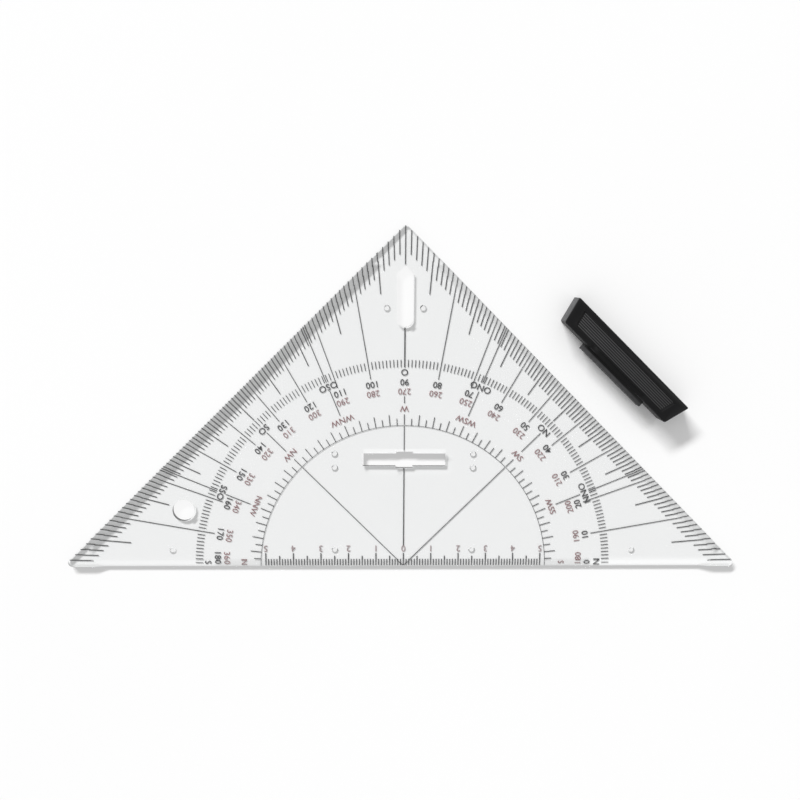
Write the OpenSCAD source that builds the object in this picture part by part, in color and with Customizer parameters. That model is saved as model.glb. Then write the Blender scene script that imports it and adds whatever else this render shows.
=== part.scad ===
// Navigation set square: a clear 45 degree plate with bevelled edges and a printed
// protractor, and a loose black handle that lies beside it on its side.
// Millimetres. +Z is up, the part rests on z = 0, and the origin is the printed zero
// point, on the middle of the base edge.

/* [Plate] */
// Half the length of the base edge, from the zero point to the sharp corner
half_base = 123; // [118:0.5:132]
// Thickness of the clear plate
plate_t = 1.9; // [1.5:0.1:3]
// Radius of the three corners in plan
tip_r = 1.5; // [0.8:0.1:2.5]
// Thickness left at the foot of a bevel
edge_t = 1; // [0.6:0.1:1.4]
// Width of the bevel along the base edge
base_bevel_w = 2.4; // [1.5:0.1:4]
// Width of the bevel along each leg, square to the leg
leg_bevel_w = 2.6; // [2:0.1:4.5]
// Length of the full thickness pad at each end of the base edge
pad_l = 10.2; // [8:0.1:16]
// Length over which the base edge's bevel runs down to its full depth at each end
base_runout = 4.8; // [3:0.1:7]
// Height above the base edge at which a leg bevel begins
leg_bevel_low = 7.5; // [5:0.5:12]
// Distance from the middle line at which a leg bevel ends
leg_bevel_high = 10.1; // [7:0.1:14]
// Length over which a leg bevel runs down to its full depth at each end
leg_runout = 3; // [1.5:0.1:4]

/* [Feet] */
// Height of the small feet under the plate
foot_h = 0.3; // [0.2:0.05:0.5]
// Diameter of a foot at the plate
foot_d = 2.3; // [1.5:0.1:3]
// Diameter of a foot at its rest face
foot_tip_d = 1.6; // [1:0.1:2]

/* [Openings] */
// Diameter of the round hanging hole
hole_d = 7.9; // [6:0.1:9]
// Distance of the hanging hole from the sharp corner, along the base edge
hole_in = 44; // [39:0.5:53]
// Height of the hanging hole above the base edge
hole_y = 20.9; // [17:0.1:24]
// Width of the pointed hanging slot
hang_w = 5.9; // [5:0.1:7]
// Length of the pointed hanging slot
hang_l = 21.7; // [16:0.1:24]
// Distance from the sharp corner at the top to the point of the slot
hang_drop = 14.4; // [12:0.1:17]
// Height of the middle of the handle slot above the base edge
handle_slot_y = 39.5; // [34:0.1:42]
// Width of the notch in each long wall of the handle slot
notch_w = 6.1; // [4:0.1:8]
// Depth of that notch
notch_depth = 0.65; // [0.4:0.05:1]
// Chamfer along the upper rim of the handle slot
slot_chamfer = 0.35; // [0.2:0.05:0.6]

/* [Handle] */
// Length of the grip along its top
grip_l = 55.5; // [50:0.1:62]
// Length of the grip along the side that meets the plate
grip_foot_l = 50.6; // [45:0.1:55]
// Height of the grip above the plate when it is fitted
grip_h = 9.6; // [8:0.1:12]
// Thickness of the grip
grip_t = 8; // [5.6:0.1:9.6]
// Radius of the corners of the grip beside the tongue
grip_r = 0.9; // [0.5:0.1:1.5]
// Radius of the grip's two outer corners
grip_tip_r = 0.4; // [0.2:0.1:1]
// Length of the tongue that goes into the plate
tongue_l = 29.3; // [24:0.1:34]
// Thickness of the tongue
tongue_t = 4.4; // [4.3:0.1:5]
// Height of the tongue
tongue_h = 2.1; // [1.6:0.1:2.3]
// How far the tongue sits from the middle of the grip, along the grip
tongue_shift = 0.6; // [0:0.1:2]
// Clearance of the tongue in its slot, on each side
tongue_clearance = 0.15; // [0.1:0.05:0.3]
// Flat rim above the ribbed panel
rim_top = 2.05; // [1.4:0.05:2.5]
// Flat rim below the ribbed panel
rim_foot = 2.05; // [1.8:0.05:3]
// Rim at the ends of the ribbed panel
rim_end = 3.9; // [3:0.1:7]
// Depth of the ribbed panel
panel_depth = 0.5; // [0.3:0.05:0.8]
// Number of ribs on each side
rib_count = 7; // [5:1:8]
// Pitch of the ribs
rib_pitch = 0.78; // [0.6:0.02:0.84]
// Width of a rounded rib where it meets the floor of the panel
rib_w = 0.54; // [0.4:0.02:0.6]
// Height of a rib above the floor of the panel
rib_h = 0.22; // [0.16:0.02:0.26]
// Distance from the end of the panel to the ends of the ribs
rib_inset = 0.9; // [0.5:0.1:3]
// Length of the finger dish beside the tongue
dish_l = 27; // [20:0.5:32]
// Greatest depth of the finger dish
dish_depth = 0.7; // [0.4:0.05:0.9]
// Width of the rim left between the finger dish and the ribbed panel
dish_margin = 0.3; // [0.2:0.05:0.8]
// Clear distance between the leg edge and the lying handle's tongue
handle_gap = 13.5; // [10:0.1:20]
// How far the lying handle's middle is from the leg's middle, along the leg
handle_shift = 1; // [-10:0.1:10]
// Direction of the lying handle, in degrees from the base edge
handle_angle = -44.1; // [-55:0.1:-35]

/* [Printed scales] */
// Thickness of the printed ink
ink_t = 0.05; // [0.03:0.01:0.08]
// Gap between the ink and the plate
ink_gap = 0.02; // [0.01:0.01:0.03]
// Width of a printed line of the protractor ring and the compass
line_w = 0.25; // [0.16:0.01:0.3]
// Width of the degree marks along the legs
leg_line_w = 0.3; // [0.2:0.01:0.4]
// Width of the marks of the centimetre scale
scale_line_w = 0.34; // [0.2:0.01:0.4]
// Width of the compass ring's fine circle
compass_ring_w = 0.14; // [0.1:0.01:0.3]
// Width of the printed middle line below the handle slot
low_middle_w = 0.32; // [0.2:0.01:0.4]
// Width of the printed middle line between the hanging slot and the ring
middle_line_w = 0.4; // [0.3:0.05:0.6]
// Distance that printed lines keep from the leg edges
edge_margin = 0.2; // [0.1:0.05:0.5]
// Depth of the degree marks along the legs
degree_tick = 6.3; // [5:0.1:7]
// Depth of the marks for each fifth degree
five_tick = 11.3; // [9:0.1:11.4]
// Least distance between a leg edge and the protractor ring
ring_margin = 11.6; // [11.5:0.1:13]
// Length of the marks of the protractor ring
ring_tick = 2.7; // [2:0.1:3.2]
// Gap between the ring and the inner ends of the ten degree lines
ten_gap = 3.3; // [2.5:0.1:4]
// Length of the compass point lines
compass_line = 9.6; // [8:0.1:11]
// Gap between the compass point lines and the compass ring's marks
compass_gap = 4; // [3:0.1:5]
// Length of the long marks of the compass ring
compass_tick = 4; // [3:0.1:5]
// Length of the short marks of the compass ring
compass_tick_short = 2.5; // [1.5:0.1:2.8]
// Length of the compass line on the middle line
east_line = 2.6; // [2:0.1:3.5]
// Length of the centimetre marks
cm_tick = 4.65; // [4:0.05:6]
// Length of the half centimetre marks
half_cm_tick = 3.6; // [3:0.05:3.9]
// Length of the millimetre marks
mm_tick = 2.4; // [1.8:0.05:2.9]
// Distance from the base edge to the start of the marks
ruler_margin = 0.15; // [0.1:0.05:0.3]
// Height above the base edge at which the middle line begins
middle_line_y = 7.4; // [6.5:0.1:9]
// One millimetre of the printed scale
mm_step = 1; // [1:0.01:1.1]
// Least distance between the ends of the scale and the compass ring
scale_margin = 1.2; // [0.8:0.1:1.6]

/* [Hidden] */
$fn = 48;
// Overrun that carries a cut past the face it leaves by
over = 1;
corner_steps = 6;
plate_z = foot_h;
plate_top = plate_z + plate_t;
bevel_rise = plate_t - edge_t;
slot_l = tongue_l + 2 * tongue_clearance;
slot_w = tongue_t + 2 * tongue_clearance;
notch_top = handle_slot_y + slot_w / 2 + notch_depth;
notch_bottom = handle_slot_y - slot_w / 2 - notch_depth;
hole_x = half_base - hole_in;
hang_tip_y = half_base - hang_drop;
plate_tip_y = half_base - tip_r * (sqrt(2) - 1);
hang_bottom_y = hang_tip_y - hang_l;
hang_shoulder_y = hang_tip_y - hang_w / 2;
hang_round_y = hang_bottom_y + hang_w / 2;
ring_outer_r = half_base / sqrt(2) - ring_margin;
ring_inner_r = ring_outer_r - ring_tick;
ten_inner_r = ring_inner_r - ten_gap;
compass_outer_r = ten_inner_r;
compass_inner_r = compass_outer_r - compass_line;
compass_ring_outer_r = compass_inner_r - compass_gap;
compass_ring_r = compass_ring_outer_r - compass_tick;
ink_z = plate_z - ink_gap - ink_t;
// Whole millimetres from the zero point to each end of the scale
scale_marks = floor((compass_ring_r - scale_margin) / mm_step);
// Distance from the zero point to the line of the lying grip's middle, square to the leg
handle_out = half_base / sqrt(2) + handle_gap + tongue_h + grip_h / 2;
// Sixteen compass points on a full turn, and eight marks between neighbours
point_step = 360 / 16;
mark_step = point_step / 8;

function unit(v) = v / norm(v);
// Points of a round corner of radius r at p, between the neighbours a and b
function round_corner(a, p, b, r) =
    let (u = unit(a - p), v = unit(b - p), half = acos(u * v) / 2,
        c = p + unit(u + v) * r / sin(half),
        d = p + u * r / tan(half) - c, e = p + v * r / tan(half) - c,
        start = atan2(d[1], d[0]), finish = atan2(e[1], e[0]),
        turn = (finish - start + 360 + 180) % 360 - 180)
    [for (i = [0:corner_steps])
        c + r * [cos(start + turn * i / corner_steps),
            sin(start + turn * i / corner_steps)]];
// Outline with a radius for each corner
function round_all(points, radii) =
    let (n = len(points))
    [for (i = [0:n - 1])
        each round_corner(points[(i + n - 1) % n], points[i], points[(i + 1) % n],
            radii[i])];
// Distance from the zero point to a line parallel to the leg, depth inside it
function leg_r(a, depth) = (half_base - depth * sqrt(2)) / (abs(cos(a)) + sin(a));
// Half length of the grip at a height above its foot side
function grip_half(y) = grip_foot_l / 2 + (grip_l - grip_foot_l) / 2 * y / grip_h;

plate_points = [[half_base, 0], [0, half_base], [-half_base, 0]];
foot_places = [
    [hang_w / 2 + 1.5 * foot_d, hang_round_y + 1.6 * foot_d],
    [slot_l / 2 + 4.4 * foot_d, handle_slot_y + 0.8 * foot_d],
    [slot_l / 2 + 4.4 * foot_d, handle_slot_y - 1.4 * foot_d],
    [slot_l / 2 + 4.4 * foot_d, 2.55 * foot_d],
    [hole_x + 2 * foot_d, 2.5 * foot_d]];

// Cuts a bevel whose foot runs along the local X axis from x0 to x1, inside being +Y,
// and which runs down to its full depth over a length of runout at each end
module bevel(x0, x1, width, runout) {
    slope = atan2(bevel_rise, width);
    reach = x1 - x0 + width;
    lead = runout * over / bevel_rise;
    intersection() {
        translate([0, width + over, 0]) rotate([90, 0, 0])
            linear_extrude(height = width + 2 * over)
            polygon([[x0 - lead, plate_top + over],
                [x0 + runout + lead, plate_top - bevel_rise - over],
                [x1 - runout - lead, plate_top - bevel_rise - over],
                [x1 + lead, plate_top + over]]);
        translate([x0, 0, plate_z + edge_t]) rotate([slope, 0, 0])
            translate([-width, -reach, 0]) cube([reach + width, 2 * reach, reach]);
    }
}

module leg_bevel() {
    translate([half_base, 0, 0]) rotate(135)
        bevel(leg_bevel_low * sqrt(2), (half_base - leg_bevel_high) * sqrt(2),
            leg_bevel_w, leg_runout);
}

module foot() {
    cylinder(h = foot_h, d1 = foot_tip_d, d2 = foot_d);
}

// Chamfer along a slot rim that runs along the local X axis, the slot being on -Y
module rim_chamfer(length) {
    translate([-length / 2, 0, plate_top]) rotate([90, 0, 90])
        linear_extrude(height = length)
            polygon([[-over, -slot_chamfer - over], [slot_chamfer + over, over],
                [-over, over]]);
}

module handle_slot() {
    translate([0, handle_slot_y, 0]) {
        translate([-slot_l / 2, -slot_w / 2, -over])
            cube([slot_l, slot_w, plate_top + 2 * over]);
        translate([-notch_w / 2, -slot_w / 2 - notch_depth, -over])
            cube([notch_w, slot_w + 2 * notch_depth, plate_top + 2 * over]);
        for (turn = [0, 180]) rotate(turn) {
            translate([0, slot_w / 2, 0]) rim_chamfer(slot_l);
            translate([-slot_l / 2, 0, 0]) rotate(90) rim_chamfer(slot_w);
        }
    }
}

module hang_slot() {
    translate([0, hang_round_y, -over])
        cylinder(h = plate_top + 2 * over, d = hang_w);
    translate([0, 0, -over]) linear_extrude(height = plate_top + 2 * over)
        polygon([[-hang_w / 2, hang_round_y], [hang_w / 2, hang_round_y],
            [hang_w / 2, hang_shoulder_y], [0, hang_tip_y],
            [-hang_w / 2, hang_shoulder_y]]);
}

module plate() {
    color("whitesmoke") {
        difference() {
            translate([0, 0, plate_z]) linear_extrude(height = plate_t)
                polygon(round_all(plate_points, [for (p = plate_points) tip_r]));
            bevel(-half_base + pad_l, half_base - pad_l, base_bevel_w, base_runout);
            leg_bevel();
            mirror([1, 0, 0]) leg_bevel();
            translate([-hole_x, hole_y, -over])
                cylinder(h = plate_top + 2 * over, d = hole_d);
            handle_slot();
            hang_slot();
        }
        for (place = foot_places, side = [-1, 1])
            translate([side * place[0], place[1], 0]) foot();
    }
}

// One side's ribbed panel and finger dish, as the cut below the face z = 0
module grip_recess() {
    y0 = rim_foot;
    y1 = grip_h - rim_top;
    rib_end = rim_end + rib_inset;
    rib_y = (y0 + y1 - (rib_count - 1) * rib_pitch) / 2;
    rib_r = (rib_w * rib_w / 4 + rib_h * rib_h) / (2 * rib_h);
    difference() {
        translate([0, 0, -panel_depth]) linear_extrude(height = panel_depth + over)
            polygon([[-grip_half(y0) + rim_end, y0], [grip_half(y0) - rim_end, y0],
                [grip_half(y1) - rim_end, y1], [-grip_half(y1) + rim_end, y1]]);
        for (i = [0:rib_count - 1])
            let (y = rib_y + i * rib_pitch, x = grip_half(y) - rib_end)
            translate([-x, y, rib_h - panel_depth - rib_r]) rotate([0, 90, 0])
                cylinder(h = 2 * x, r = rib_r);
    }
    dish_r = (dish_l * dish_l / 4 + dish_depth * dish_depth) / (2 * dish_depth);
    intersection() {
        translate([-dish_l, -over, -dish_depth - over])
            cube([2 * dish_l, rim_foot - dish_margin + over, dish_depth + 2 * over]);
        translate([0, -over, dish_r - dish_depth]) rotate([-90, 0, 0])
            cylinder(h = rim_foot + 2 * over, r = dish_r, $fn = 200);
    }
}

module grip_side() {
    translate([0, 0, grip_t]) grip_recess();
}

module lying_handle() {
    difference() {
        linear_extrude(height = grip_t)
            polygon(round_all([[-grip_foot_l / 2, 0], [grip_foot_l / 2, 0],
                [grip_l / 2, grip_h], [-grip_l / 2, grip_h]],
                [grip_r, grip_r, grip_tip_r, grip_tip_r]));
        grip_side();
        translate([0, 0, grip_t]) mirror([0, 0, 1]) grip_side();
    }
    translate([tongue_shift - tongue_l / 2, -tongue_h, (grip_t - tongue_t) / 2])
        cube([tongue_l, tongue_h + over, tongue_t]);
}

module handle() {
    color([0.09, 0.09, 0.1])
        rotate(45) translate([handle_out, -handle_shift, 0]) rotate(handle_angle - 45)
            translate([0, -grip_h / 2, 0]) lying_handle();
}

module ink() {
    color([0.15, 0.15, 0.17])
        translate([0, 0, ink_z]) linear_extrude(height = ink_t) children();
}

// A printed line along a ray from the zero point
module ray(angle, inner, outer, width = line_w) {
    rotate(angle) translate([inner, -width / 2]) square([outer - inner, width]);
}

module leg_degree_ticks() {
    ink() {
        for (a = [1:179])
            if (a % 10 != 0)
                ray(a, leg_r(a, a % 5 == 0 ? five_tick : degree_tick),
                    leg_r(a, edge_margin), leg_line_w);
        ray(90, hang_tip_y + edge_margin, plate_tip_y - edge_margin, leg_line_w);
    }
}

module ten_degree_lines() {
    ink() for (a = [10:10:170])
        if (a != 90)
            ray(a, ten_inner_r, leg_r(a, edge_margin));
        else
            ray(a, ring_inner_r, hang_bottom_y - edge_margin, middle_line_w);
}

module protractor_ring_ticks() {
    ink() for (a = [1:179])
        if (a % 10 != 0) ray(a, ring_inner_r, ring_outer_r);
}

module compass_lines() {
    ink() for (i = [1:7]) {
        a = i * point_step;
        ray(a, compass_inner_r,
            i == 4 ? compass_inner_r + east_line : compass_outer_r);
        if (i % 2 == 1) ray(a, ring_inner_r, leg_r(a, edge_margin));
    }
}

module compass_ring() {
    color([0.15, 0.15, 0.17]) {
        translate([0, 0, ink_z]) rotate_extrude(angle = 180, $fn = 180)
            translate([compass_ring_r - compass_ring_w / 2, 0])
                square([compass_ring_w, ink_t]);
    }
    ink() for (i = [1:63])
        if (i % 16 != 0)
            ray(i * mark_step, compass_ring_r,
                i % 2 == 0 ? compass_ring_outer_r : compass_ring_r + compass_tick_short);
}

module centre_lines() {
    clear = line_w;
    ink() {
        for (a = [45, 135]) {
            ray(a, line_w, compass_ring_r - clear);
            ray(a, compass_ring_r + clear, compass_ring_outer_r);
        }
        ray(90, middle_line_y, notch_bottom - edge_margin, low_middle_w);
        ray(90, notch_top + edge_margin, compass_ring_r - clear);
        ray(90, compass_ring_r + clear, compass_ring_outer_r);
    }
}

module centimetre_scale() {
    ink() for (i = [-scale_marks:scale_marks]) {
        length = i % 10 == 0 ? cm_tick : i % 5 == 0 ? half_cm_tick : mm_tick;
        translate([i * mm_step - scale_line_w / 2, ruler_margin])
            square([scale_line_w, length - ruler_margin]);
    }
}

plate();
handle();
leg_degree_ticks();
ten_degree_lines();
protractor_ring_ticks();
compass_lines();
compass_ring();
centre_lines();
centimetre_scale();
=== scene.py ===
# Navigation set square with its loose handle: materials, lettering, light and camera
import math
import bpy
from mathutils import Matrix, Vector


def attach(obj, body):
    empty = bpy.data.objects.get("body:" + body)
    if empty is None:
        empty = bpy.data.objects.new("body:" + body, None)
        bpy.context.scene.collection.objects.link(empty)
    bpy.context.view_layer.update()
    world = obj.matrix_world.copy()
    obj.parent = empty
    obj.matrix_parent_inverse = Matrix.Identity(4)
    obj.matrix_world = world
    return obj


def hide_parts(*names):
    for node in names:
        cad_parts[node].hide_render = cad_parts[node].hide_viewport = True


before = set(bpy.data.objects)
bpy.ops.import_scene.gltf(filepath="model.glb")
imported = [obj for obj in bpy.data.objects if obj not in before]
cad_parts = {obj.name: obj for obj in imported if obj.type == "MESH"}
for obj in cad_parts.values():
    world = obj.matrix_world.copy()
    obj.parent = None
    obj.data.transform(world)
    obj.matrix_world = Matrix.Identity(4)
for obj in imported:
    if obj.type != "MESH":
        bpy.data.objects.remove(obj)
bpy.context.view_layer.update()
mm = 0.001


def deselectAll():
    if bpy.context.object and bpy.context.object.mode != "OBJECT":
        bpy.ops.object.mode_set(mode="OBJECT")
    bpy.ops.object.select_all(action="DESELECT")


def pickOnly(piece):
    deselectAll()
    piece.select_set(True)
    bpy.context.view_layer.objects.active = piece


def finishPiece(piece, material, body="set_square"):
    piece.data.materials.clear()
    piece.data.materials.append(material)
    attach(piece, body)


print("stage: materials")


mottleShape = {"broadDetail": 3, "fineDetail": 2, "glossFrom": 0.3, "glossTo": 0.7}


def makeMottleGroup():
    # soft uneven tone, gloss and height, which every finish here uses with its own values
    group = bpy.data.node_groups.new("mottle", "ShaderNodeTree")
    face = group.interface
    face.new_socket("Scale", in_out="INPUT", socket_type="NodeSocketFloat")
    face.new_socket("Detail Scale", in_out="INPUT", socket_type="NodeSocketFloat")
    face.new_socket("Dark", in_out="INPUT", socket_type="NodeSocketColor")
    face.new_socket("Light", in_out="INPUT", socket_type="NodeSocketColor")
    face.new_socket("Least Roughness", in_out="INPUT", socket_type="NodeSocketFloat")
    face.new_socket("Most Roughness", in_out="INPUT", socket_type="NodeSocketFloat")
    face.new_socket("Colour", in_out="OUTPUT", socket_type="NodeSocketColor")
    face.new_socket("Roughness", in_out="OUTPUT", socket_type="NodeSocketFloat")
    face.new_socket("Height", in_out="OUTPUT", socket_type="NodeSocketFloat")
    nodes, links = group.nodes, group.links
    entry, leave = nodes.new("NodeGroupInput"), nodes.new("NodeGroupOutput")
    place = nodes.new("ShaderNodeTexCoord")
    broad, fine = nodes.new("ShaderNodeTexNoise"), nodes.new("ShaderNodeTexNoise")
    broad.inputs["Detail"].default_value = mottleShape["broadDetail"]
    fine.inputs["Detail"].default_value = mottleShape["fineDetail"]
    tone = nodes.new("ShaderNodeMix")
    tone.data_type = "RGBA"
    gloss = nodes.new("ShaderNodeMapRange")
    links.new(place.outputs["Object"], broad.inputs["Vector"])
    links.new(place.outputs["Object"], fine.inputs["Vector"])
    links.new(entry.outputs["Scale"], broad.inputs["Scale"])
    links.new(entry.outputs["Detail Scale"], fine.inputs["Scale"])
    links.new(broad.outputs["Fac"], tone.inputs["Factor"])
    links.new(entry.outputs["Dark"], tone.inputs["A"])
    links.new(entry.outputs["Light"], tone.inputs["B"])
    links.new(broad.outputs["Fac"], gloss.inputs["Value"])
    gloss.inputs["From Min"].default_value = mottleShape["glossFrom"]
    gloss.inputs["From Max"].default_value = mottleShape["glossTo"]
    links.new(entry.outputs["Least Roughness"], gloss.inputs["To Min"])
    links.new(entry.outputs["Most Roughness"], gloss.inputs["To Max"])
    links.new(tone.outputs["Result"], leave.inputs["Colour"])
    links.new(gloss.outputs["Result"], leave.inputs["Roughness"])
    links.new(fine.outputs["Fac"], leave.inputs["Height"])
    return group


mottleGroup = makeMottleGroup()


def mottledMaterial(name, look):
    material = bpy.data.materials.new(name)
    material.use_nodes = True
    nodes, links = material.node_tree.nodes, material.node_tree.links
    shader = nodes["Principled BSDF"]
    mottle = nodes.new("ShaderNodeGroup")
    mottle.node_tree = mottleGroup
    mottle.inputs["Scale"].default_value = look["scale"]
    mottle.inputs["Detail Scale"].default_value = look["grainScale"]
    mottle.inputs["Dark"].default_value = (*look["dark"], 1)
    mottle.inputs["Light"].default_value = (*look["light"], 1)
    mottle.inputs["Least Roughness"].default_value = look["roughness"][0]
    mottle.inputs["Most Roughness"].default_value = look["roughness"][1]
    bump = nodes.new("ShaderNodeBump")
    bump.inputs["Strength"].default_value = look["bumpStrength"]
    bump.inputs["Distance"].default_value = look["bumpDepth"]
    links.new(mottle.outputs["Colour"], shader.inputs["Base Color"])
    links.new(mottle.outputs["Roughness"], shader.inputs["Roughness"])
    links.new(mottle.outputs["Height"], bump.inputs["Height"])
    links.new(bump.outputs["Normal"], shader.inputs["Normal"])
    shader.inputs["Specular IOR Level"].default_value = look["specular"]
    shader.inputs["IOR"].default_value = look["ior"]
    return material


def calc(tree, operation, first, second=0.0):
    node = tree.nodes.new("ShaderNodeMath")
    node.operation = operation
    for socket, value in zip(node.inputs, (first, second)):
        if isinstance(value, bpy.types.NodeSocket):
            tree.links.new(value, socket)
        else:
            socket.default_value = value
    return node.outputs["Value"]


def ramp(tree, value, start, end, low=0.0, high=1.0):
    # goes softly from low to high as the value goes from start to end, which may be the smaller one
    node = tree.nodes.new("ShaderNodeMapRange")
    node.interpolation_type = "SMOOTHSTEP"
    tree.links.new(value, node.inputs["Value"])
    if start > end:
        start, end, low, high = end, start, high, low
    for socket, number in (("From Min", start), ("From Max", end), ("To Min", low), ("To Max", high)):
        node.inputs[socket].default_value = number
    return node.outputs["Result"]


def blendValues(tree, share, first, second):
    node = tree.nodes.new("ShaderNodeMix")
    for socket, value in zip((node.inputs["Factor"], node.inputs["A"], node.inputs["B"]),
                             (share, first, second)):
        if isinstance(value, bpy.types.NodeSocket):
            tree.links.new(value, socket)
        else:
            socket.default_value = value
    return node.outputs["Result"]


def boxMask(tree, x, y, left, right, low, high, soft):
    mask = ramp(tree, x, left - soft, left + soft)
    for part in (ramp(tree, x, right + soft, right - soft), ramp(tree, y, low - soft, low + soft),
                 ramp(tree, y, high + soft, high - soft)):
        mask = calc(tree, "MULTIPLY", mask, part)
    return mask


clearLook = {
    "scale": 90, "grainScale": 400, "dark": (0.975, 0.985, 0.985), "light": (0.995, 1, 1),
    "roughness": (0.0, 0.012), "bumpStrength": 0.05, "bumpDepth": 0.01 * mm,
    "specular": 0.5, "ior": 1.49,
    # limits of a normal's parts, which sort the faces
    "flatFrom": 0.99, "slopeFrom": 0.5, "turned": 0.5, "leaning": 0.1,
    "faceClear": 0.95,  # how much lamp light a flat face lets through
    "wallClear": 0.02,  # and an upright wall, which throws it aside
    "wallLit": 1.09 * mm,  # lamp light that comes in above this height of a wall reaches the table
    "leftWallLit": 1.5 * mm, "leftBevelLit": 1.85 * mm,
    "rightBevelLit": 2.0 * mm, "rightBevelClear": 0.5,
    "step": 0.08 * mm,  # half of the width over which one share goes over into another
    # light strips above the two ends of the base edge, left and right, and the shaded one between them
    "edgeGain": (0.06, 0.22), "edgeGainFrom": 4.0 * mm, "edgeGainFull": 1.9 * mm,
    "edgeShade": 0.67, "edgeShadeFrom": 3.0 * mm, "edgeShadeFull": 2.2 * mm,
    "edgeShadeHalf": 68.5 * mm, "edgeShadeSoft": 1.0 * mm,
    "rimShade": 0.5, "rimFrom": 1.3 * mm, "rimFull": 0.1 * mm,
    # light strip above the handle slot, given by the slot's left, right and upper side
    "slotGain": 0.2, "slotGainWidth": 1.7 * mm, "slotTop": (-14.8 * mm, 14.8 * mm, 41.9 * mm),
    "holeAt": (-79 * mm, 20.9 * mm), "holeRadius": 3.95 * mm, "holeRing": (3, 1),
    "hangSlot": (-3.0 * mm, 3.0 * mm, 86.8 * mm, 108.8 * mm),
}


def lampShare(tree, look):
    # share of the lamps' light that passes each face of the plate on its way to the table
    geometry = tree.nodes.new("ShaderNodeNewGeometry")
    place = tree.nodes.new("ShaderNodeTexCoord")
    normal, point = tree.nodes.new("ShaderNodeSeparateXYZ"), tree.nodes.new("ShaderNodeSeparateXYZ")
    tree.links.new(geometry.outputs["True Normal"], normal.inputs["Vector"])
    tree.links.new(place.outputs["Object"], point.inputs["Vector"])
    x, y, z = point.outputs
    level = calc(tree, "ABSOLUTE", normal.outputs["Z"])
    flat = calc(tree, "GREATER_THAN", level, look["flatFrom"])
    slope = calc(tree, "GREATER_THAN", level, look["slopeFrom"])
    step = look["step"]

    # faces that the light leaves by: the underside, and walls turned away from the lamps
    # painted light: around the round hole and the hanging slot the walls let the lamps' light through as
    # flat faces do, so no shadow falls inside these openings
    fromHole = calc(tree, "POWER", calc(tree, "ADD", calc(tree, "POWER", calc(
        tree, "SUBTRACT", x, look["holeAt"][0]), 2), calc(tree, "POWER", calc(
            tree, "SUBTRACT", y, look["holeAt"][1]), 2)), 0.5)
    outside, inside = (look["holeRadius"] + count * step for count in look["holeRing"])
    nearHole = ramp(tree, fromHole, outside, inside)
    opening = calc(tree, "MAXIMUM", nearHole, boxMask(tree, x, y, *look["hangSlot"], step))
    wallOut = blendValues(tree, opening, look["wallClear"], look["faceClear"])
    reach, soft = look["edgeShadeHalf"], look["edgeShadeSoft"]
    gain = ramp(tree, x, -reach, reach, *look["edgeGain"])
    gain = calc(tree, "MULTIPLY", gain, ramp(tree, y, look["edgeGainFrom"], look["edgeGainFull"]))
    shade = ramp(tree, y, look["edgeShadeFrom"], look["edgeShadeFull"], 1.0, look["edgeShade"])
    outer = ramp(tree, calc(tree, "ABSOLUTE", x), reach - soft, reach + soft)
    edgeGain = blendValues(tree, outer, shade, calc(tree, "ADD", gain, 1.0))
    edgeGain = calc(tree, "MULTIPLY", edgeGain, ramp(tree, y, look["rimFrom"], look["rimFull"],
                                                     1.0, look["rimShade"]))
    left, right, top = look["slotTop"]
    slotGain = boxMask(tree, x, y, left, right, top, top + look["slotGainWidth"], step)
    slotGain = calc(tree, "ADD", calc(tree, "MULTIPLY", slotGain, look["slotGain"]), 1.0)
    underside = calc(tree, "MULTIPLY", calc(tree, "MULTIPLY", edgeGain, slotGain), look["faceClear"])
    leaving = blendValues(tree, flat, wallOut, underside)

    # faces that it comes in by: the top, the bevels, and walls turned to the lamps
    wallIn = ramp(tree, z, look["wallLit"] - step, look["wallLit"] + step, look["wallClear"], 1.0)
    turned, leaning = look["turned"], look["leaning"]
    leftWall = calc(tree, "MULTIPLY", calc(tree, "GREATER_THAN", normal.outputs["X"], turned),
                    calc(tree, "LESS_THAN", normal.outputs["Y"], -turned))
    wallIn = blendValues(tree, leftWall, wallIn, ramp(
        tree, z, look["leftWallLit"] - step, look["leftWallLit"] + step, look["wallClear"], 1.0))
    leftIn = ramp(tree, z, look["leftBevelLit"] - step, look["leftBevelLit"] + step,
                  look["wallClear"], 1.0)
    rightIn = ramp(tree, z, look["rightBevelLit"] - step, look["rightBevelLit"] + step,
                   look["rightBevelClear"], 1.0)
    onLeg = calc(tree, "LESS_THAN", normal.outputs["Y"], -leaning)
    leftSide = calc(tree, "MULTIPLY", onLeg, calc(tree, "GREATER_THAN", normal.outputs["X"], leaning))
    rightSide = calc(tree, "MULTIPLY", onLeg, calc(tree, "LESS_THAN", normal.outputs["X"], -leaning))
    slopeIn = blendValues(tree, leftSide, blendValues(tree, rightSide, 1.0, rightIn), leftIn)
    coming = blendValues(tree, flat, blendValues(tree, slope, wallIn, slopeIn), look["faceClear"])
    return blendValues(tree, geometry.outputs["Backfacing"], leaving, coming)


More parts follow.
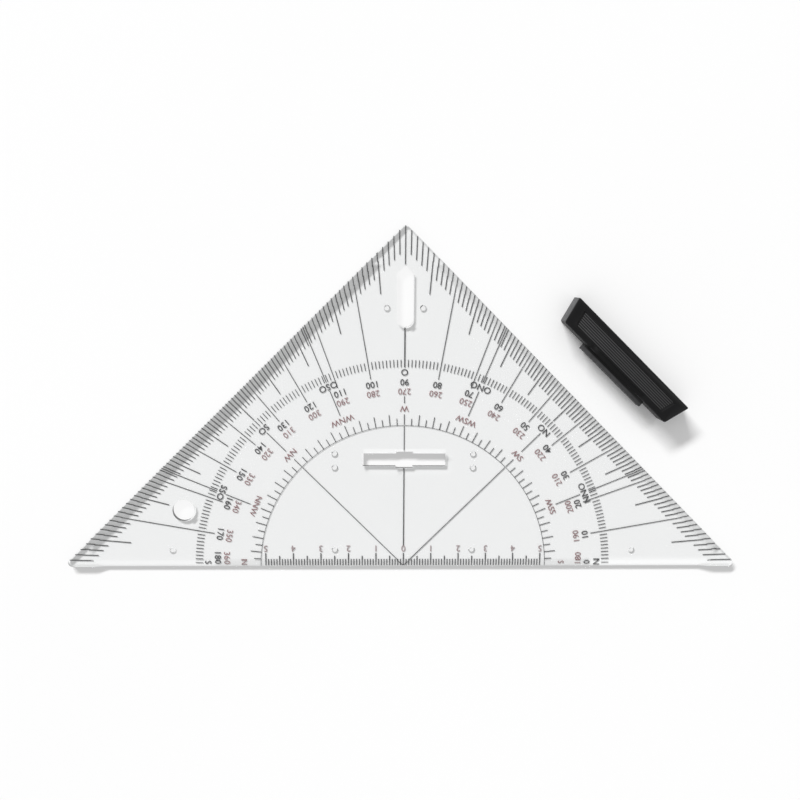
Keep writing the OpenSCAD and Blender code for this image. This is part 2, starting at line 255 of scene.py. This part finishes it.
def makeClearPlastic(look):
    material = mottledMaterial("clearAcrylic", look)
    tree = material.node_tree
    nodes, links = tree.nodes, tree.links
    shader, out = nodes["Principled BSDF"], nodes["Material Output"]
    shader.inputs["Transmission Weight"].default_value = 1
    # the lamps' light passes the flat faces and is held back by the walls, and the soft light
    # of the room comes straight through
    lampClear = nodes.new("ShaderNodeBsdfTransparent")
    softClear = nodes.new("ShaderNodeBsdfTransparent")
    softClear.inputs["Color"].default_value = (look["faceClear"],) * 3 + (1,)
    path = nodes.new("ShaderNodeLightPath")
    lampMix, softMix = nodes.new("ShaderNodeMixShader"), nodes.new("ShaderNodeMixShader")
    links.new(lampShare(tree, look), lampClear.inputs["Color"])
    links.new(path.outputs["Is Shadow Ray"], lampMix.inputs["Fac"])
    links.new(shader.outputs["BSDF"], lampMix.inputs[1])
    links.new(lampClear.outputs["BSDF"], lampMix.inputs[2])
    links.new(path.outputs["Is Diffuse Ray"], softMix.inputs["Fac"])
    links.new(lampMix.outputs["Shader"], softMix.inputs[1])
    links.new(softClear.outputs["BSDF"], softMix.inputs[2])
    links.new(softMix.outputs["Shader"], out.inputs["Surface"])
    return material


blackLook = {
    "scale": 300, "grainScale": 3600,
    "dark": (0.0028, 0.0028, 0.003), "light": (0.005, 0.005, 0.0055),
    "roughness": (0.48, 0.62), "bumpStrength": 0.6, "bumpDepth": 0.03 * mm, "specular": 0.42, "ior": 1.5,
    "middle": (76.632 * mm, 75.218 * mm), "angle": math.radians(-44.1),  # of the lying grip
    "halfHeight": 4.8 * mm, "halfLength": 26.5 * mm, "endSlope": 0.255,
    "top": 7.6 * mm, "topSoft": 0.2 * mm, "tongueSoft": 0.3 * mm, "patchScale": 600,
    "scuffAndLampLight": (0.042, 0.042, 0.044), "scuffRoughness": 0.72,  # the tongue's outer part: wear from its slot together with painted lamp light, stopping where the grip's shadow falls
    "lampLitScuffFrom": 0.7 * mm, "lampLitScuffFull": 1.1 * mm, "lampLitScuffPatches": (0.2, 0.65, 0.6, 1.0),
    "panelInset": 3.9 * mm, "panelHalf": 2.75 * mm, "floor": (0.006, 0.006, 0.0065),
    # painted sheen on the rib crests
    "crestSheen": (0.045, 0.045, 0.046), "crestSheenFrom": 7.6 * mm, "crestSheenFull": 7.71 * mm,
    "rimFrom": 7.84 * mm, "rimFull": 7.94 * mm, "rimRoughness": 0.4,
    # painted reflection on the end faces
    "endSheen": (0.055, 0.055, 0.057), "endFrom": 0.2 * mm, "endFull": 0.05 * mm,
    # painted highlight along the top edges, broken into patches
    "edgeHighlight": (0.03, 0.03, 0.032), "edgeWidth": 0.28 * mm, "edgeCore": 0.28 * mm / 3,
    "edgeHighlightPatches": (0.35, 0.6),
    "dishHalf": 13 * mm, "dishTop": -2.9 * mm, "dishPast": 1.0 * mm, "dishSoft": 0.4 * mm,
    "dishRoughness": 0.3,
}
blackInkLook = {
    "scale": 900, "grainScale": 9000, "dark": (0.018, 0.018, 0.02), "light": (0.035, 0.035, 0.038),
    "roughness": (0.5, 0.7), "bumpStrength": 0.2, "bumpDepth": 0.01 * mm, "specular": 0.3, "ior": 1.5,
}
redInkLook = {**blackInkLook, "dark": (0.2, 0.095, 0.1), "light": (0.29, 0.14, 0.145)}
scaleInkLook = {**blackInkLook, "dark": (0.29, 0.22, 0.225), "light": (0.37, 0.28, 0.285)}
tableLook = {
    "scale": 6, "grainScale": 700, "dark": (0.9, 0.9, 0.9), "light": (0.915, 0.915, 0.915),
    "roughness": (0.6, 0.7), "bumpStrength": 0.05, "bumpDepth": 0.02 * mm, "specular": 0.1, "ior": 1.45,
}


mixColour = {"from": 6, "to": 7, "out": 2}  # the sockets of a Mix node that carry colours


def makeBlackPlastic(look):
    # fine moulded grain, painted sheen on the rib crests, painted reflection on the end faces, a
    # polished dish, a scuffed tongue with painted lamp light on its outer part, stopping where the
    # grip's shadow falls, and painted highlights along the top edges
    material = mottledMaterial("blackMouldedPlastic", look)
    tree = material.node_tree
    nodes, links = tree.nodes, tree.links
    shader = nodes["Principled BSDF"]
    mottle = next(n for n in nodes if n.type == "GROUP")
    place, own = nodes.new("ShaderNodeTexCoord"), nodes.new("ShaderNodeMapping")
    own.vector_type = "TEXTURE"
    own.inputs["Location"].default_value = (*look["middle"], 0)
    own.inputs["Rotation"].default_value = (0, 0, look["angle"])
    parts = nodes.new("ShaderNodeSeparateXYZ")
    links.new(place.outputs["Object"], own.inputs["Vector"])
    links.new(own.outputs["Vector"], parts.inputs["Vector"])
    along, across, up = parts.outputs
    half = look["halfHeight"]
    tongue = ramp(tree, across, -half, -half - look["tongueSoft"])
    notTongue = calc(tree, "SUBTRACT", 1.0, tongue)
    dish = boxMask(tree, along, across, -look["dishHalf"], look["dishHalf"],
                   -half - look["dishPast"], look["dishTop"], look["dishSoft"])
    toEnd = calc(tree, "SUBTRACT", calc(tree, "ADD", calc(
        tree, "MULTIPLY", across, look["endSlope"]), look["halfLength"]), calc(tree, "ABSOLUTE", along))
    toSide = calc(tree, "SUBTRACT", half, calc(tree, "ABSOLUTE", across))
    # painted highlight along the top edges, broken into patches
    edgeHighlightMask = ramp(tree, calc(tree, "MINIMUM", toEnd, toSide), look["edgeWidth"], look["edgeCore"])
    nearTop = ramp(tree, up, look["top"], look["top"] + look["topSoft"])
    edgeHighlightMask = calc(tree, "MULTIPLY", edgeHighlightMask, nearTop)
    patchy = nodes.new("ShaderNodeTexNoise")
    patchy.inputs["Scale"].default_value = look["patchScale"]
    links.new(place.outputs["Object"], patchy.inputs["Vector"])
    edgeHighlightMask = calc(tree, "MULTIPLY", edgeHighlightMask, ramp(tree, patchy.outputs["Fac"], *look["edgeHighlightPatches"]))
    edgeHighlightMask = calc(tree, "MULTIPLY", edgeHighlightMask, notTongue)
    # painted lamp light with wear on the tongue's outer part, stopping where the grip's shadow falls
    lampLitScuff = ramp(tree, across, -half - look["lampLitScuffFrom"], -half - look["lampLitScuffFull"])
    lampLitScuff = calc(tree, "MULTIPLY", lampLitScuff, ramp(tree, patchy.outputs["Fac"], *look["lampLitScuffPatches"]))
    panel = calc(tree, "MULTIPLY", calc(tree, "GREATER_THAN", toEnd, look["panelInset"]), calc(
        tree, "LESS_THAN", calc(tree, "ABSOLUTE", across), look["panelHalf"]))
    # painted sheen on the rib crests
    crestSheen = calc(tree, "MULTIPLY", panel, ramp(tree, up, look["crestSheenFrom"], look["crestSheenFull"]))
    # painted reflection on the end faces
    endFaceSheen = calc(tree, "MULTIPLY", ramp(tree, toEnd, look["endFrom"], look["endFull"]), notTongue)
    rim = calc(tree, "MULTIPLY", ramp(tree, up, look["rimFrom"], look["rimFull"]), notTongue)
    tone = mottle.outputs["Colour"]
    for share, colour in ((panel, look["floor"]), (crestSheen, look["crestSheen"]), (endFaceSheen, look["endSheen"]),
                          (edgeHighlightMask, look["edgeHighlight"]), (lampLitScuff, look["scuffAndLampLight"])):
        layer = nodes.new("ShaderNodeMix")
        layer.data_type = "RGBA"
        links.new(share, layer.inputs["Factor"])
        links.new(tone, layer.inputs[mixColour["from"]])
        layer.inputs[mixColour["to"]].default_value = (*colour, 1)
        tone = layer.outputs[mixColour["out"]]
    links.new(tone, shader.inputs["Base Color"])
    gloss = blendValues(tree, rim, mottle.outputs["Roughness"], look["rimRoughness"])
    gloss = blendValues(tree, dish, gloss, look["dishRoughness"])
    gloss = blendValues(tree, lampLitScuff, gloss, look["scuffRoughness"])
    links.new(gloss, shader.inputs["Roughness"])
    return material


clearPlastic = makeClearPlastic(clearLook)
blackPlastic = makeBlackPlastic(blackLook)
blackInk = mottledMaterial("blackInk", blackInkLook)
redInk = mottledMaterial("redInk", redInkLook)
scaleInk = mottledMaterial("scaleInk", scaleInkLook)
tableWhite = mottledMaterial("whiteTable", tableLook)

cadFinish = {"plate": clearPlastic, "handle": blackPlastic}
for name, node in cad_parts.items():
    material = cadFinish.get(name, blackInk)
    if not node.material_slots:
        node.data.materials.append(material)
    for place in node.material_slots:
        place.material = material

print("stage: lettering")

lettering = {
    "inkMiddle": 0.255 * mm,  # height of the middle of the print, just under the plate
    "inkHalf": 0.025 * mm,
    "curveSteps": 3, "merge": 0.001 * mm,
    "letterRadius": 70.8 * mm, "letterHeight": 2.4 * mm,
    "numberRadius": 67.25 * mm, "numberHeight": 2.35 * mm,
    "redNumberRadius": 63.95 * mm, "redNumberHeight": 2.3 * mm,
    "redLetterRadius": 57.75 * mm, "redLetterHeight": 2.2 * mm,
    "endRises": {1: 1.4 * mm, 3: 2.9 * mm},  # by the count of signs, for the labels at the base edge
    "scaleRise": 6.25 * mm, "scaleHeight": 2.4 * mm,
    "boldness": 0.015 * mm, "redBoldness": -0.02 * mm,
    "redLetterBoldness": 0.0, "scaleBoldness": 0.0,
}
capShare = 0.729  # height of a capital against the font size


def makeLabel(words, height, boldness, x, y, turn):
    deselectAll()
    bpy.ops.object.text_add(location=(0, 0, 0))
    label = bpy.context.object
    text = label.data
    text.body = words
    text.size = height / capShare
    text.extrude = lettering["inkHalf"]
    text.offset = boldness
    text.resolution_u = lettering["curveSteps"]
    bpy.ops.object.convert(target="MESH")
    label = bpy.context.object
    xs = [v.co.x for v in label.data.vertices]
    middle = Vector(((min(xs) + max(xs)) / 2, height / 2, 0))
    place = Matrix.Translation((x, y, lettering["inkMiddle"])) @ Matrix.Rotation(turn, 4, "Z")
    label.matrix_world = place @ Matrix.Translation(-middle)
    bpy.ops.object.transform_apply(location=True, rotation=True, scale=True)
    return label


def joinLabels(labels, name, material):
    deselectAll()
    for label in labels:
        label.select_set(True)
    bpy.context.view_layer.objects.active = labels[0]
    bpy.ops.object.join()
    piece = bpy.context.object
    piece.name = name
    bpy.ops.object.mode_set(mode="EDIT")
    bpy.ops.mesh.select_all(action="SELECT")
    bpy.ops.mesh.remove_doubles(threshold=lettering["merge"])
    bpy.ops.mesh.normals_make_consistent(inside=False)
    bpy.ops.object.mode_set(mode="OBJECT")
    finishPiece(piece, material)
    return piece


def ringLabels(words, step, radius, height, boldness):
    # tops of the letters point to the zero point, so they are read from the right angle
    labels = []
    for i, word in enumerate(words):
        angle = math.radians(i * step)
        x, y = radius * math.cos(angle), radius * math.sin(angle)
        if i in (0, len(words) - 1):
            y = lettering["endRises"][len(word)]
        labels.append(makeLabel(word, height, boldness, x, y, angle + math.pi / 2))
    return labels


pointNames = ["N", "NNO", "NO", "ONO", "O", "OSO", "SO", "SSO", "S"]
backNames = ["S", "SSW", "SW", "WSW", "W", "WNW", "NW", "NNW", "N"]
joinLabels(ringLabels(pointNames, 22.5, lettering["letterRadius"], lettering["letterHeight"],
                      lettering["boldness"]),
           "compassLetters", blackInk)
joinLabels(ringLabels([str(i) for i in range(0, 181, 10)], 10, lettering["numberRadius"],
                      lettering["numberHeight"], lettering["boldness"]),
           "degreeNumbers", blackInk)
joinLabels(ringLabels([str(i) for i in range(180, 361, 10)], 10, lettering["redNumberRadius"],
                      lettering["redNumberHeight"], lettering["redBoldness"]),
           "redDegreeNumbers", redInk)
joinLabels(ringLabels(backNames, 22.5, lettering["redLetterRadius"], lettering["redLetterHeight"],
                      lettering["redLetterBoldness"]),
           "redCompassLetters", redInk)
joinLabels([makeLabel(str(abs(i)), lettering["scaleHeight"], lettering["scaleBoldness"],
                      i * 10 * mm, lettering["scaleRise"], math.pi) for i in range(-5, 6)],
           "scaleNumbers", scaleInk)

print("stage: handle")

handleEdges = {
    "width": 0.12 * mm, "segments": 2, "sharpAngle": math.radians(30), "smoothAngle": math.radians(35),
    "merge": 0.002 * mm, "flatAngle": math.radians(0.5),
}


def makeHandle():
    # the solid's shape with the small rounded edges of a moulding
    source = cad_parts["handle"]
    piece = source.copy()
    piece.data = source.data.copy()
    bpy.context.collection.objects.link(piece)
    piece.parent = None
    piece.matrix_world = Matrix.Identity(4)
    for key in [k for k in piece.keys() if k.startswith("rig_")]:
        del piece[key]
    piece.name = "mouldedHandle"
    pickOnly(piece)
    bpy.ops.object.mode_set(mode="EDIT")
    bpy.ops.mesh.select_all(action="SELECT")
    bpy.ops.mesh.remove_doubles(threshold=handleEdges["merge"])
    bpy.ops.mesh.dissolve_limited(angle_limit=handleEdges["flatAngle"])
    bpy.ops.mesh.normals_make_consistent(inside=False)
    bpy.ops.object.mode_set(mode="OBJECT")
    bevel = piece.modifiers.new("edges", "BEVEL")
    bevel.width = handleEdges["width"]
    bevel.segments = handleEdges["segments"]
    bevel.limit_method = "ANGLE"
    bevel.angle_limit = handleEdges["sharpAngle"]
    bevel.use_clamp_overlap = True
    bpy.ops.object.modifier_apply(modifier=bevel.name)
    bpy.ops.object.shade_smooth_by_angle(angle=handleEdges["smoothAngle"])
    finishPiece(piece, blackPlastic, "loose_handle")
    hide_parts("handle")
    return piece


makeHandle()

print("stage: table, light and camera")

studio = {
    "tableSize": 6.0, "tableParts": 4,
    "keyFrom": (-0.51, 0.86), "keyElevation": math.radians(30.0), "keyHeight": 1.0,
    # suns side by side make a wide strip light: their turns, the width of one, the strength of all
    "keyFan": [math.radians(a) for a in (-11, -5.5, 0, 5.5, 11)],
    "keyAngle": math.radians(6.5), "keyStrength": 3.14,
    "fill": 0.595, "seenWhite": 1.0,
    "ceiling": 0.15, "sides": 0.95, "ceilingEdge": (0.93, 0.55),  # what gloss sees above and around
}
deselectAll()
bpy.ops.mesh.primitive_grid_add(x_subdivisions=studio["tableParts"], y_subdivisions=studio["tableParts"],
                                size=studio["tableSize"])
table = bpy.context.object
table.name = "table"
table.data.materials.append(tableWhite)

world = bpy.data.worlds.new("studio")
bpy.context.scene.world = world
world.use_nodes = True
world.cycles.sampling_method = "NONE"
sky = world.node_tree
background = sky.nodes["Background"]
background.inputs["Color"].default_value = (1, 1, 1, 1)
path, direction = sky.nodes.new("ShaderNodeLightPath"), sky.nodes.new("ShaderNodeTexCoord")
height = sky.nodes.new("ShaderNodeSeparateXYZ")
sky.links.new(direction.outputs["Generated"], height.inputs["Vector"])
room = ramp(sky, height.outputs["Z"], *studio["ceilingEdge"], studio["ceiling"], studio["sides"])
strength = blendValues(sky, path.outputs["Is Glossy Ray"], studio["fill"], room)
seen = calc(sky, "MAXIMUM", path.outputs["Is Camera Ray"], path.outputs["Is Transmission Ray"])
strength = blendValues(sky, seen, strength, studio["seenWhite"])
sky.links.new(strength, background.inputs["Strength"])

for i, offset in enumerate(studio["keyFan"]):
    deselectAll()
    bpy.ops.object.light_add(type="SUN", location=(0, 0, studio["keyHeight"]))
    key = bpy.context.object
    key.name = f"keyLight{i + 1}"
    flat = Vector((*studio["keyFrom"], 0)).normalized() * math.cos(studio["keyElevation"])
    flat.rotate(Matrix.Rotation(offset, 3, "Z"))
    towards = Vector((flat.x, flat.y, math.sin(studio["keyElevation"])))
    key.rotation_euler = towards.to_track_quat("Z", "Y").to_euler()
    key.data.energy = studio["keyStrength"] / len(studio["keyFan"])
    key.data.angle = studio["keyAngle"]

view = {
    "aim": (-1.587 * mm, 60.9795 * mm, 1.0 * mm),  # point at the middle of the picture
    "distance": 1 / 3.0,
    "roll": -0.00686, "tiltX": 0.13995, "tiltY": 0.0271,
    "pixelsPerMm": 2.80784, "picture": 800, "sensor": 36.0,
    "nearest": 0.01, "farthest": 20,
}
turn = (Matrix.Rotation(view["roll"], 3, "Z") @ Matrix.Rotation(view["tiltX"], 3, "X")
        @ Matrix.Rotation(view["tiltY"], 3, "Y")).transposed()
bpy.ops.object.camera_add()
camera = bpy.context.object
camera.name = "photoCamera"
camera.matrix_world = Matrix.Translation(
    Vector(view["aim"]) + turn @ Vector((0, 0, view["distance"]))) @ turn.to_4x4()
camera.data.sensor_width = view["sensor"]
camera.data.lens = view["sensor"] * view["pixelsPerMm"] / mm * view["distance"] / view["picture"]
camera.data.clip_start = view["nearest"]
camera.data.clip_end = view["farthest"]
bpy.context.scene.camera = camera
bpy.context.scene.view_settings.view_transform = "Standard"

deselectAll()
print("stage: done")
